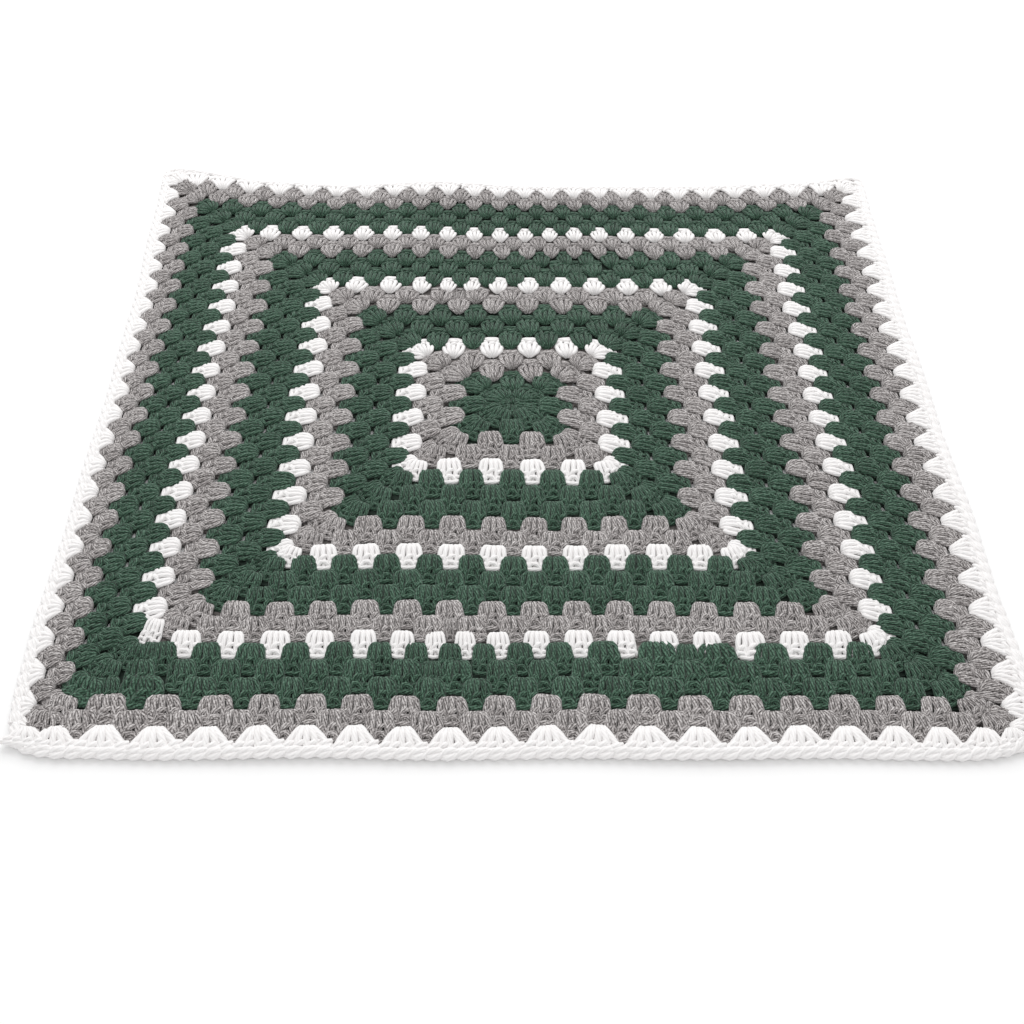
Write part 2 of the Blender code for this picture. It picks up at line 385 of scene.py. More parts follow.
# %% One cluster as paths
def post_path(place, course, draw):
    """One strand of a fan, at a place from -1 to 1 across it."""
    shift = draw.uniform(-POST_SHIFT, POST_SHIFT)
    share = draw.uniform(1 - POST_UNEVENNESS, 1 + POST_UNEVENNESS)
    return [(place * half + shift, out * STITCH, (height - lower * place ** 2) * share, thickness)
            for out, half, height, lower, thickness in course]


def placed_path(course, along, draw, sink=0.0):
    """A short strand, moved along the cluster and shifted a little."""
    shift = along + draw.uniform(-SHORT_SHIFT, SHORT_SHIFT)
    drift = draw.uniform(-SHORT_DRIFT, SHORT_DRIFT)
    drop = sink * along ** 2
    return [(x + shift, (out + drift) * STITCH, height - drop, thickness)
            for x, out, height, thickness in course]


def cluster_paths(draw):
    paths = [post_path(place, POST_COURSE, draw) for place in POST_PLACES]
    paths += [placed_path(WRAP_COURSE, place, draw, sink=WRAP_SINK) for place in WRAP_PLACES]
    paths += [placed_path(TOP_COURSE, place, draw, sink=TOP_SINK) for place in TOP_PLACES]
    paths += [placed_path(LIP_COURSE, 0.0, draw)]
    return paths


def open_cluster_paths(draw):
    paths = [post_path(place, OPEN_POST_COURSE, draw) for place in POST_PLACES]
    paths += [placed_path(OPEN_KNOT_COURSE, place, draw) for place in OPEN_KNOT_PLACES]
    chains = (OPEN_CHAIN_COURSE, OPEN_FOOT_COURSE)
    paths += [placed_path(course, 0.0, draw) for course in chains]
    return paths


# %% Keep the versions of a cluster as patterns
def keep_values(mesh, name, kind, values):
    """Keeps one value or vector for each point of a mesh, as a named attribute."""
    field = "vector" if kind == "FLOAT_VECTOR" else "value"
    mesh.attributes.new(name, kind, "POINT").data.foreach_set(field, values)


def path_mesh(name, paths):
    """Paths as a mesh of points and edges, with each point's thickness kept as an attribute."""
    points = [point[:3] for path in paths for point in path]
    widths = [point[3] for path in paths for point in path]
    edges = []
    start = 0
    for path in paths:
        edges += [(start + i, start + i + 1) for i in range(len(path) - 1)]
        start += len(path)
    mesh = bpy.data.meshes.new(name)
    mesh.from_pydata(points, edges, [])
    keep_values(mesh, "width", "FLOAT", widths)
    return mesh


def pattern_collection(name, versions):
    collection = bpy.data.collections.new(name)
    for number, paths in enumerate(versions):
        pattern = bpy.data.objects.new(f"{name} {number:02d}", path_mesh(name, paths))
        collection.objects.link(pattern)
    return collection


draw = random.Random(PATTERN_SEED)
versions = [cluster_paths(draw) for _ in range(PATTERN_VERSIONS)]
open_versions = [open_cluster_paths(draw) for _ in range(PATTERN_VERSIONS)]
cluster_patterns = pattern_collection("cluster", versions)
open_patterns = pattern_collection("open cluster", open_versions)
print("strands in a cluster", len(versions[0]), "and in an open one", len(open_versions[0]))

# %% [markdown]
# ## A node tree that grows yarn
# Geometry Nodes suit a thing that repeats a thousand times. The tree puts a pattern of paths on
# every point, makes the copies real, turns the paths into curves and sweeps a soft flat section
# along them. It also stores how far along and around each strand a point is, so the material can
# twist the plies.


# %% Small helpers for node trees
def add_node(tree, kind, **settings):
    node = tree.nodes.new(kind)
    for name, value in settings.items():
        setattr(node, name, value)
    return node


def feed(tree, node, **sources):
    """Links or sets a node's inputs by name, with an underscore for each space."""
    for name, source in sources.items():
        socket = node.inputs[name.replace("_", " ")]
        if isinstance(source, bpy.types.NodeSocket):
            tree.links.new(source, socket)
        else:
            socket.default_value = source
    return node


def new_tree(name, inputs):
    """A geometry tree with a geometry input, named inputs and one geometry output."""
    tree = bpy.data.node_groups.new(name, "GeometryNodeTree")
    tree.interface.new_socket("Geometry", in_out="INPUT", socket_type="NodeSocketGeometry")
    tree.interface.new_socket("Geometry", in_out="OUTPUT", socket_type="NodeSocketGeometry")
    for label, kind in inputs:
        tree.interface.new_socket(label, in_out="INPUT", socket_type="NodeSocket" + kind)
    return tree, tree.nodes.new("NodeGroupInput"), tree.nodes.new("NodeGroupOutput")


def attribute(tree, name, kind):
    node = add_node(tree, "GeometryNodeInputNamedAttribute", data_type=kind)
    node.inputs["Name"].default_value = name
    return node.outputs["Attribute"]


def store(tree, geometry, name, kind, value, domain="POINT"):
    node = add_node(tree, "GeometryNodeStoreNamedAttribute", data_type=kind, domain=domain)
    feed(tree, node, Geometry=geometry, Name=name, Value=value)
    return node.outputs["Geometry"]


def finish_tree(tree, geometry, material, output):
    real = feed(tree, tree.nodes.new("GeometryNodeRealizeInstances"), Geometry=geometry)
    painted = tree.nodes.new("GeometryNodeSetMaterial")
    feed(tree, painted, Geometry=real.outputs["Geometry"], Material=material)
    tree.links.new(painted.outputs["Geometry"], output.inputs["Geometry"])


# %% The yarn tree
# Waves per metre of the noise that moves the strands, and the middle of its values
LOOSE_WAVES = 140.0
NOISE_MIDDLE = (0.5, 0.5, 0.5)


def yarn_tree():
    inputs = (
        ("Pattern", "Collection"),
        ("Yarn Radius", "Float"),
        ("Flatness", "Float"),
        ("Sides", "Int"),
        ("Looseness", "Float"),
        ("Seed", "Int"),
        ("Material", "Material"),
    )
    tree, source, output = new_tree("yarn on points", inputs)
    given = source.outputs
    patterns = add_node(tree, "GeometryNodeCollectionInfo")
    feed(tree, patterns, Collection=given["Pattern"], Separate_Children=True, Reset_Children=True)
    turn = feed(tree, tree.nodes.new("FunctionNodeEulerToRotation"),
                Euler=attribute(tree, "turn", "FLOAT_VECTOR"))
    copies = feed(tree, tree.nodes.new("GeometryNodeInstanceOnPoints"), Points=given["Geometry"],
                  Instance=patterns.outputs["Instances"], Pick_Instance=True,
                  Instance_Index=attribute(tree, "version", "INT"),
                  Rotation=turn.outputs["Rotation"],
                  Scale=attribute(tree, "stretch", "FLOAT_VECTOR"))
    real = feed(tree, tree.nodes.new("GeometryNodeRealizeInstances"),
                Geometry=copies.outputs["Instances"])
    loose = loosened(tree, real.outputs["Geometry"], given["Looseness"])
    curves = feed(tree, tree.nodes.new("GeometryNodeMeshToCurve"), Mesh=loose)
    filled = widened(tree, curves.outputs["Curve"])
    tinted = tint_strands(tree, filled, given["Seed"])
    finish_tree(tree, swept(tree, tinted, given), given["Material"], output)
    return tree


# %% The first steps of the yarn tree
def loosened(tree, geometry, amount):
    """Moves points by smooth noise, so that strands lie a little unevenly."""
    noise = feed(tree, tree.nodes.new("ShaderNodeTexNoise"), Scale=LOOSE_WAVES, Detail=1.0)
    centred = add_node(tree, "ShaderNodeVectorMath", operation="SUBTRACT")
    tree.links.new(noise.outputs["Color"], centred.inputs[0])
    centred.inputs[1].default_value = NOISE_MIDDLE
    scaled = add_node(tree, "ShaderNodeVectorMath", operation="SCALE")
    tree.links.new(centred.outputs["Vector"], scaled.inputs[0])
    tree.links.new(amount, scaled.inputs["Scale"])
    moved = tree.nodes.new("GeometryNodeSetPosition")
    feed(tree, moved, Geometry=geometry, Offset=scaled.outputs["Vector"])
    return moved.outputs["Geometry"]


def widened(tree, curves):
    """Makes the strands of a stretched copy thicker, so that no gaps open between them."""
    parts = tree.nodes.new("ShaderNodeSeparateXYZ")
    tree.links.new(attribute(tree, "stretch", "FLOAT_VECTOR"), parts.inputs["Vector"])
    product = add_node(tree, "ShaderNodeMath", operation="MULTIPLY")
    tree.links.new(attribute(tree, "width", "FLOAT"), product.inputs[0])
    tree.links.new(parts.outputs["X"], product.inputs[1])
    return store(tree, curves, "width", "FLOAT", product.outputs["Value"])


def tint_strands(tree, curves, seed):
    """Gives each strand its own shade and keeps the length along it."""
    shade = add_node(tree, "FunctionNodeRandomValue", data_type="FLOAT")
    feed(tree, shade, Seed=seed)
    tinted = store(tree, curves, "tint", "FLOAT", shade.outputs["Value"], "CURVE")
    along = tree.nodes.new("GeometryNodeSplineParameter")
    return store(tree, tinted, "along", "FLOAT", along.outputs["Length"])


# %% The last step of the yarn tree
def swept(tree, curves, given):
    """Sweeps a soft flattened section along the strands, with closed ends and smooth shading."""
    section = tree.nodes.new("GeometryNodeCurvePrimitiveCircle")
    feed(tree, section, Resolution=given["Sides"], Radius=given["Yarn Radius"])
    here = tree.nodes.new("GeometryNodeInputPosition")
    unit = add_node(tree, "ShaderNodeVectorMath", operation="NORMALIZE")
    tree.links.new(here.outputs["Position"], unit.inputs[0])
    profile = store(tree, section.outputs["Curve"], "around", "FLOAT_VECTOR",
                    unit.outputs["Vector"])
    shape = feed(tree, tree.nodes.new("ShaderNodeCombineXYZ"), X=1.0, Y=given["Flatness"], Z=1.0)
    flat = feed(tree, tree.nodes.new("GeometryNodeTransform"), Geometry=profile,
                Scale=shape.outputs["Vector"])
    level = feed(tree, add_node(tree, "GeometryNodeSetCurveNormal", mode="Z_UP"), Curve=curves)
    tube = tree.nodes.new("GeometryNodeCurveToMesh")
    feed(tree, tube, Curve=level.outputs["Curve"], Profile_Curve=flat.outputs["Geometry"],
         Scale=attribute(tree, "width", "FLOAT"), Fill_Caps=True)
    smooth = feed(tree, tree.nodes.new("GeometryNodeSetShadeSmooth"), Geometry=tube.outputs["Mesh"])
    return smooth.outputs["Geometry"]


YARN_TREE = yarn_tree()
print("yarn tree with", len(YARN_TREE.nodes), "nodes")


# %% Turn a tree's result into a plain piece
def socket_id(tree, label):
    for item in tree.interface.items_tree:
        if item.item_type == "SOCKET" and item.in_out == "INPUT" and item.name == label:
            return item.identifier
    raise KeyError(label)


def grow(name, mesh, tree, **values):
    """Runs a tree on a mesh and keeps its result as a plain mesh object."""
    seed_object = bpy.data.objects.new(name + " seed", mesh)
    bpy.context.scene.collection.objects.link(seed_object)
    modifier = seed_object.modifiers.new("nodes", "NODES")
    modifier.node_group = tree
    for label, value in values.items():
        modifier[socket_id(tree, label.replace("_", " "))] = value
    view = bpy.context.evaluated_depsgraph_get()
    made = bpy.data.meshes.new_from_object(seed_object.evaluated_get(view))
    bpy.data.objects.remove(seed_object)
    made.name = name
    piece = bpy.data.objects.new(name, made)
    bpy.context.scene.collection.objects.link(piece)
    return piece


def settle(piece):
    """Puts the piece on the root body of the frame and hides the imported blanket."""
    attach(piece, "root")
    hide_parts("blanket")


# %% [markdown]
# ## Yarn materials
# The yarn is soft plied acrylic. Seen close, six plies twist round each strand, and fine fibres run
# along them. An image would stretch and slide on so many thin strands, so the plies are worked out
# from the attributes that the tree stored, and they follow every bend. A sine of the angle around
# and the length along gives the twist, and noise gives the fibres. The colour is painted darker in
# the grooves between the plies and lighter on their crowns, which is painted shade.

# %% Finish of the yarn
PLIES = 6
TWIST_LENGTH = 0.040
GROOVE_SHARPNESS = 0.6

# Fibres are noise that is read close to the strand's axis and slowly along it
FIBRE_REACH = 0.0022
FIBRE_RUN = 0.50
FIBRE_WAVES = 1000.0
FIBRE_RELIEF = 0.5

# Painted shade: a yarn is painted darker in the grooves between its plies and lighter on their
# crowns, and its tone also differs at random from strand to strand
MEAN_CROWN = 0.75
STRAND_TINT = 0.14
SHADE_PLACES = (0.15, 0.50, 0.85)

SPECULAR = 0.25
SHEEN = 0.15
SHEEN_ROUGHNESS = 0.5
BUMP_STRENGTH = 0.9
print("plies", PLIES, "turn once in", TWIST_LENGTH, "m")


# %% Small helpers for materials
def math_node(tree, operation, *values):
    node = add_node(tree, "ShaderNodeMath", operation=operation)
    for socket, value in zip(node.inputs, values):
        if isinstance(value, bpy.types.NodeSocket):
            tree.links.new(value, socket)
        else:
            socket.default_value = value
    return node.outputs["Value"]


def strand_attribute(tree, name, output="Fac"):
    node = add_node(tree, "ShaderNodeAttribute", attribute_type="GEOMETRY", attribute_name=name)
    return node.outputs[output]


# %% Plies and fibres
def ply_crowns(tree, around, along):
    """Height of the plies, 0 in the grooves between them and 1 on their crowns."""
    angle = math_node(tree, "ARCTAN2", around.outputs["Y"], around.outputs["X"])
    twist = math_node(tree, "MULTIPLY", along, pi * PLIES / TWIST_LENGTH)
    phase = math_node(tree, "MULTIPLY_ADD", angle, PLIES / 2, twist)
    swing = math_node(tree, "ABSOLUTE", math_node(tree, "SINE", phase))
    return math_node(tree, "POWER", swing, GROOVE_SHARPNESS)


def fibre_place(tree, around, along, tint):
    """Coordinates that run with the strand, so fibres stretch along it."""
    place = feed(tree, tree.nodes.new("ShaderNodeCombineXYZ"),
                 X=math_node(tree, "MULTIPLY", around.outputs["X"], FIBRE_REACH),
                 Y=math_node(tree, "MULTIPLY", around.outputs["Y"], FIBRE_REACH),
                 Z=math_node(tree, "MULTIPLY_ADD", along, FIBRE_RUN, tint))
    return place.outputs["Vector"]


# %% Build a yarn material
def ramp(tree, value, stops):
    node = tree.nodes.new("ShaderNodeValToRGB")
    while len(node.color_ramp.elements) < len(stops):
        node.color_ramp.elements.new(0.5)
    for element, (position, colour) in zip(node.color_ramp.elements, stops):
        element.position = position
        element.color = (*colour, 1.0)
    tree.links.new(value, node.inputs["Fac"])
    return node.outputs["Color"]


def yarn_material(name, shades, mottle, painted_groove_shade, roughness, relief_height):
    """Plied yarn from a deep, a middle and a bright shade. Mottle is how much its fibres differ,
    and painted shade darkens the grooves between the plies by the given amount.
    """
    material = bpy.data.materials.new(name)
    material.use_nodes = True
    tree = material.node_tree
    shader = tree.nodes["Principled BSDF"]
    around = tree.nodes.new("ShaderNodeSeparateXYZ")
    tree.links.new(strand_attribute(tree, "around", "Vector"), around.inputs["Vector"])
    along = strand_attribute(tree, "along")
    tint = strand_attribute(tree, "tint")
    crowns = ply_crowns(tree, around, along)
    noise = feed(tree, tree.nodes.new("ShaderNodeTexNoise"), Scale=FIBRE_WAVES, Detail=3.0,
                 Roughness=0.6, Vector=fibre_place(tree, around, along, tint))
    fibres = noise.outputs["Fac"]
    flecks = math_node(tree, "MULTIPLY_ADD", fibres, mottle, 0.5 - mottle / 2)
    # Painted shade: darker in the grooves between the plies, lighter on their crowns
    painted_ply_shade = math_node(tree, "MULTIPLY_ADD", crowns, painted_groove_shade, -MEAN_CROWN * painted_groove_shade)
    strands = math_node(tree, "MULTIPLY_ADD", tint, STRAND_TINT, -STRAND_TINT / 2)
    level = math_node(tree, "ADD", math_node(tree, "ADD", flecks, painted_ply_shade), strands)
    colour = ramp(tree, level, list(zip(SHADE_PLACES, shades)))
    tree.links.new(colour, shader.inputs["Base Color"])
    shader.inputs["Roughness"].default_value = roughness
    shader.inputs["Specular IOR Level"].default_value = SPECULAR
    shader.inputs["Sheen Weight"].default_value = SHEEN
    shader.inputs["Sheen Roughness"].default_value = SHEEN_ROUGHNESS
    relief = math_node(tree, "MULTIPLY_ADD", fibres, FIBRE_RELIEF, crowns)
    bump = feed(tree, tree.nodes.new("ShaderNodeBump"), Strength=BUMP_STRENGTH,
                Distance=relief_height, Height=relief)
    tree.links.new(bump.outputs["Normal"], shader.inputs["Normal"])
    return material


# %% The three yarns
YARNS = {
    "green": yarn_material(
        "green yarn", ((0.004, 0.014, 0.008), (0.029, 0.076, 0.046), (0.110, 0.205, 0.145)),
        mottle=2.0, painted_groove_shade=0.55, roughness=0.85, relief_height=0.0007),
    "grey": yarn_material(
        "grey heather yarn", ((0.075, 0.066, 0.063), (0.350, 0.325, 0.320), (0.720, 0.690, 0.680)),
        mottle=1.9, painted_groove_shade=0.45, roughness=0.85, relief_height=0.0007),
    "white": yarn_material(
        "white yarn", ((0.84, 0.81, 0.80), (0.895, 0.878, 0.874), (0.92, 0.908, 0.905)),
        mottle=0.5, painted_groove_shade=0.30, roughness=0.80, relief_height=0.0003),
}
print("yarns", ", ".join(material.name for material in YARNS.values()))

# %% [markdown]
# ## The colour bands
# The colours change by round: three rounds of green, two of grey and one of white, four times over.
# A thousand objects would be slow to handle, so each band is one piece. Its seed is a cloud of
# points, one for each cluster, that carry the turn, the stretch and the version of the pattern, and
# the yarn tree does the rest.

# %% Places and sizes of the clusters
# The pattern's own spacing, and how far its crest lies in from the line where its row begins
PATTERN_PITCH = 2 * STITCH
CREST_BACK = 0.010

# The two clusters of a corner: turn towards the corner, distance back along the side, rise, size.
# Those of the near and far sides lie on top.
UPPER_RISE = 0.0006
UPPER_CORNER = (radians(22), 0.008, UPPER_RISE, (0.84, 0.86, 1.02))
LOWER_CORNER = (radians(22), 0.008, 0.0, (0.84, 0.86, 0.95))
CORNER_LAY = {
    "near": UPPER_CORNER,
    "far": UPPER_CORNER,
    "left": LOWER_CORNER,
    "right": LOWER_CORNER,
}

# The near left corner of one round has a single narrow cluster, and the round on it has one more
# than the rule gives: place, turn, size
LONE_CORNER = 18
EXTRA_CLUSTERS = {
    18: ((-0.298, -0.292), radians(168), (0.70, 0.90, 1.0)),
    19: ((-0.298, -0.3186), radians(174), (0.60, 0.96, 0.92)),
}

# Width and height of the narrow cluster that closes the hole at a miscount, for a cluster added and
# one missed, and how far to each side the hole is looked for, in stitch heights
FILLER_SIZES = {1: (0.52, 0.90), -1: (0.78, 0.94)}
MISCOUNT_REACH = 2.4

# The four clusters of the first round stand close together round the centre
CENTRE_STRETCH = (0.75, 0.50, 0.95)
CENTRE_OUT = 0.47

TURN_JITTER = radians(4.0)
SIZE_JITTER = 0.035

# Lengths of the last two rounds' clusters, which have no row or only the open one over them
LAST_LENGTHS = {23: 0.96, 24: 1.0}


def cluster_length(number):
    """A cluster's length as a share of its pattern's: it ends where one two rounds on begins."""
    if number in LAST_LENGTHS:
        return LAST_LENGTHS[number]
    return (row_height(number) + row_height(number + 1)) / (2 * STITCH)


def crest_line(number):
    """How far out the clusters of a round are placed."""
    return reach(number - 1) - CREST_BACK * (1.0 - cluster_length(number))


def cloth_frame(side, along, out):
    """Place on the laid cloth, the direction out of the square and how much a row is stretched."""
    along_way, out_way = SIDES[side]
    flat = along_way * along + out_way * out
    here, further = laid([flat, flat + out_way * STITCH])
    direction = further - here
    return here, atan2(direction[1], direction[0]), np.linalg.norm(direction) / STITCH


print("lengths by round", [round(cluster_length(each), 2) for each in range(1, ROUNDS + 1)])


# %% Close the holes at the miscounts
def filler_stands(number):
    """A filler for each miscount: in the round below an added cluster, or a missed one's place."""
    stands = []
    for side, when, share, added in MISCOUNTS:
        if number != when - (added > 0):
            continue
        row = ROWS[side][when]
        aim = share * reach(when - 1)
        window = MISCOUNT_REACH * STITCH
        pairs = [pair for pair in zip(row, row[1:]) if abs(sum(pair) / 2 - aim) < window]
        start, end = max(pairs, key=lambda pair: (pair[0] - pair[1]) * added)
        place, angle, longer = cloth_frame(side, (start + end) / 2, crest_line(number))
        width, tall = FILLER_SIZES[added]
        size = [width, cluster_length(number) * longer, tall]
        stands.append(((*place, 0.0), angle - pi / 2, size))
    return stands


# %% Stand the clusters of one round
def pitch_at(spots, i):
    """The mean gap beside a cluster, as a share of the pattern's own spacing."""
    gaps = [b - a for a, b in zip(spots, spots[1:])][max(0, i - 1):i + 1]
    return sum(gaps) / len(gaps) / PATTERN_PITCH if gaps else 1.0


def cluster_stands(number, draw):
    """Place, turn and stretch of each cluster of a round."""
    stands = []
    for side, (along_way, out_way) in SIDES.items():
        spots = ROWS[side][number]
        handed = along_way[0] * out_way[1] - along_way[1] * out_way[0]
        for i, spot in enumerate(spots):
            if number == LONE_CORNER and i == 0 and side in ("near", "left"):
                continue
            stretch = [pitch_at(spots, i), cluster_length(number), 1.0]
            lean = 0.0
            rise = 0.0
            out = crest_line(number)
            if number == 1:
                stretch = list(CENTRE_STRETCH)
                out = CENTRE_OUT * STITCH
            elif i in (0, len(spots) - 1):
                sign = -1 if i == 0 else 1
                towards, back, rise, sizes = CORNER_LAY[side]
                lean = -sign * handed * towards
                spot -= sign * back
                stretch = [size * share for size, share in zip(stretch, sizes)]
            place, angle, longer = cloth_frame(side, spot, out)
            stretch[1] *= longer
            turn = angle - pi / 2 + lean + draw.uniform(-TURN_JITTER, TURN_JITTER)
            grown = [s * (1 + draw.uniform(-SIZE_JITTER, SIZE_JITTER)) for s in stretch]
            stands.append(((*place, rise), turn, grown))
    stands += filler_stands(number)
    if number in EXTRA_CLUSTERS:
        place, turn, sizes = EXTRA_CLUSTERS[number]
        stands.append(((*laid(place), UPPER_RISE), turn, sizes))
    return stands


# %% A cloud of points for the yarn tree
def seed_cloud(name, stands, version_count, draw):
    """A mesh of loose points that carry where and how each copy stands."""
    places = np.array([place for place, _, _ in stands])
    places[:, 2] += UNEVENNESS * (1.0 + wave(places, HEIGHT_WAVE))
    mesh = bpy.data.meshes.new(name)
    mesh.from_pydata(places.tolist(), [], [])
    turns = np.array([(0.0, 0.0, turn) for _, turn, _ in stands])
    stretches = np.array([stretch for _, _, stretch in stands])
    picks = [draw.randrange(version_count) for _ in stands]
    keep_values(mesh, "turn", "FLOAT_VECTOR", turns.ravel())
    keep_values(mesh, "stretch", "FLOAT_VECTOR", stretches.ravel())
    keep_values(mesh, "version", "INT", picks)
    return mesh


# %% Grow the bands
# Half the yarn's width, how much flatter it lies, the sides of its section and how far it strays
YARN_RADIUS = 0.0026
FLATNESS = 0.80
YARN_SIDES = 6
LOOSENESS = 0.0016
BAND_SEED = 5

draw = random.Random(BAND_SEED)
bands = []
cluster_count = 0
for colour, rounds in BANDS:
    first = rounds[0]
    stands = [stand for number in rounds for stand in cluster_stands(number, draw)]
    name = f"{colour}_rounds_{first:02d}_{rounds[-1]:02d}"
    cloud = seed_cloud(name, stands, PATTERN_VERSIONS, draw)
    patterns = open_patterns if first == ROUNDS else cluster_patterns
    piece = grow(name, cloud, YARN_TREE, Pattern=patterns, Yarn_Radius=YARN_RADIUS,
                 Flatness=FLATNESS, Sides=YARN_SIDES, Looseness=LOOSENESS, Seed=first,
                 Material=YARNS[colour])
    settle(piece)
    bands.append(piece)
    cluster_count += len(stands)
    print(name, len(stands), "clusters", len(piece.data.polygons), "faces")
print("clusters in all", cluster_count)

# %% [markdown]
# ## The chain edging
# The last row is a chain that lies along the rim like linked drops of yarn. One link is three short
# strands: an inner leg, an outer leg and a lower one that rests on the surface. The same yarn tree
# puts a link on each point of the rim, so the edging needs no tree of its own.

# %% Paths of one link
# Length of a link along the rim, and how far in from the rim the chain lies
EDGING_PITCH = 0.0124
EDGING_INSET = 0.0036
EDGING_VERSIONS = 5
EDGING_RADIUS = 0.0031
EDGING_FLATNESS = 0.85
EDGING_SIDES = 8
EDGING_LOOSENESS = 0.0008
EDGING_SEED = 3
LINK_SHIFT = 0.0004
RIM_STEPS = 600

# along, out, height, thickness
INNER_LEG = (
    (-0.0074, -0.0030, 0.0044, 0.76),
    (-0.0024, -0.0034, 0.0059, 1.00),
    (0.0032, -0.0026, 0.0059, 1.00),
    (0.0080, -0.0006, 0.0044, 0.74),
)
OUTER_LEG = (
    (-0.0074, -0.0024, 0.0048, 0.70),
    (-0.0026, 0.0006, 0.0046, 1.00),
    (0.0024, 0.0014, 0.0038, 1.05),
    (0.0074, 0.0000, 0.0028, 0.75),
)
LOWER_LEG = (
    (-0.0070, -0.0010, 0.0023, 0.80),
    (0.0000, -0.0004, 0.0022, 0.85),
    (0.0070, -0.0010, 0.0023, 0.80),
)


def link_paths(draw):
    paths = []
    for course in (INNER_LEG, OUTER_LEG, LOWER_LEG):
        shift = draw.uniform(-LINK_SHIFT, LINK_SHIFT)
        paths.append([(x, out + shift, height, thickness) for x, out, height, thickness in course])
    return paths


draw = random.Random(PATTERN_SEED)
link_patterns = pattern_collection("link", [link_paths(draw) for _ in range(EDGING_VERSIONS)])


# %% Grow the edging
def rim_stands(inset, pitch):
    """Evenly spaced places along the rim, with the direction out of it."""
    fine = laid(square_line(OUTER - inset, RIM_STEPS))
    closed = np.concatenate([fine, fine[:1]])
    steps = np.linalg.norm(np.diff(closed, axis=0), axis=1)
    run = np.concatenate([[0.0], np.cumsum(steps)])
    count = round(run[-1] / pitch)
    marks = np.arange(count) * run[-1] / count
    places = np.stack([np.interp(marks, run, closed[:, axis]) for axis in (0, 1)], -1)
    ahead = np.roll(places, -1, axis=0) - np.roll(places, 1, axis=0)
    turns = np.arctan2(ahead[:, 1], ahead[:, 0]) + pi
    return [((*place, 0.0), turn, (1.0, 1.0, 1.0)) for place, turn in zip(places, turns)]


stands = rim_stands(EDGING_INSET, EDGING_PITCH)
cloud = seed_cloud("edging", stands, EDGING_VERSIONS, random.Random(BAND_SEED))
edging = grow("white_chain_edging", cloud, YARN_TREE, Pattern=link_patterns,
              Yarn_Radius=EDGING_RADIUS, Flatness=EDGING_FLATNESS, Sides=EDGING_SIDES,
              Looseness=EDGING_LOOSENESS, Seed=EDGING_SEED, Material=YARNS["white"])
settle(edging)
print("edging", len(stands), "links", len(edging.data.polygons), "faces")

# %% [markdown]
# ## The ground of the cloth
# Under the raised strands lies the back of the stitches. Strands of their own would never be seen
# there, so it is a thin even sheet with a slit at every space. The tree fills the outline with the
# slits left open and gives it thickness.

# %% Outline and slits
GROUND_INSET = 0.0050
GROUND_FLOOR = 0.0004
GROUND_THICKNESS = 0.0030

# How far a slit lies in from where its round starts, and half its width and depth
SLIT_BACK = 0.0150
SLIT_SIZE = (0.0049, 0.0023, 1.0)
CORNER_SLIT_SIZE = (0.0052, 0.0052, 1.0)
SLIT_SIDES = 8
OUTLINE_STEPS = 120


def slit_stands():
    """Place, turn and size of the slit at each space between clusters and at each corner."""
    stands = []
    for number in range(2, ROUNDS + 1):
        out = reach(number - 1) - SLIT_BACK
        for side in SIDES:
            for spot in ROWS[side][number][1:-1]:
                place, angle, _ = cloth_frame(side, spot, out)
                stands.append((place, angle - pi / 2, SLIT_SIZE))
        for corner in ((-1, -1), (1, -1), (1, 1), (-1, 1)):
            place = laid(np.array(corner) * out)
            stands.append((place, 0.0, CORNER_SLIT_SIZE))
    return stands


def ground_seed():
    """The outline as a closed line, with a loose point for each slit."""
    line = laid(square_line(OUTER - GROUND_INSET, OUTLINE_STEPS))
    slits = slit_stands()
    count = len(line)
    mesh = bpy.data.meshes.new("ground")
    points = [(*point, 0.0) for point in line] + [(*place, 0.0) for place, _, _ in slits]
    mesh.from_pydata(points, [(i, (i + 1) % count) for i in range(count)], [])
    turns = np.zeros((len(points), 3))
    turns[count:, 2] = [turn for _, turn, _ in slits]
    sizes = np.ones((len(points), 3))
    sizes[count:] = [size for _, _, size in slits]
    marks = np.arange(len(points)) >= count
    keep_values(mesh, "turn", "FLOAT_VECTOR", turns.ravel())
    keep_values(mesh, "stretch", "FLOAT_VECTOR", sizes.ravel())
    keep_values(mesh, "slit", "BOOLEAN", marks)
    return mesh


print("slits", len(slit_stands()))

# %% The ground tree
MERGE_DISTANCE = 0.00001


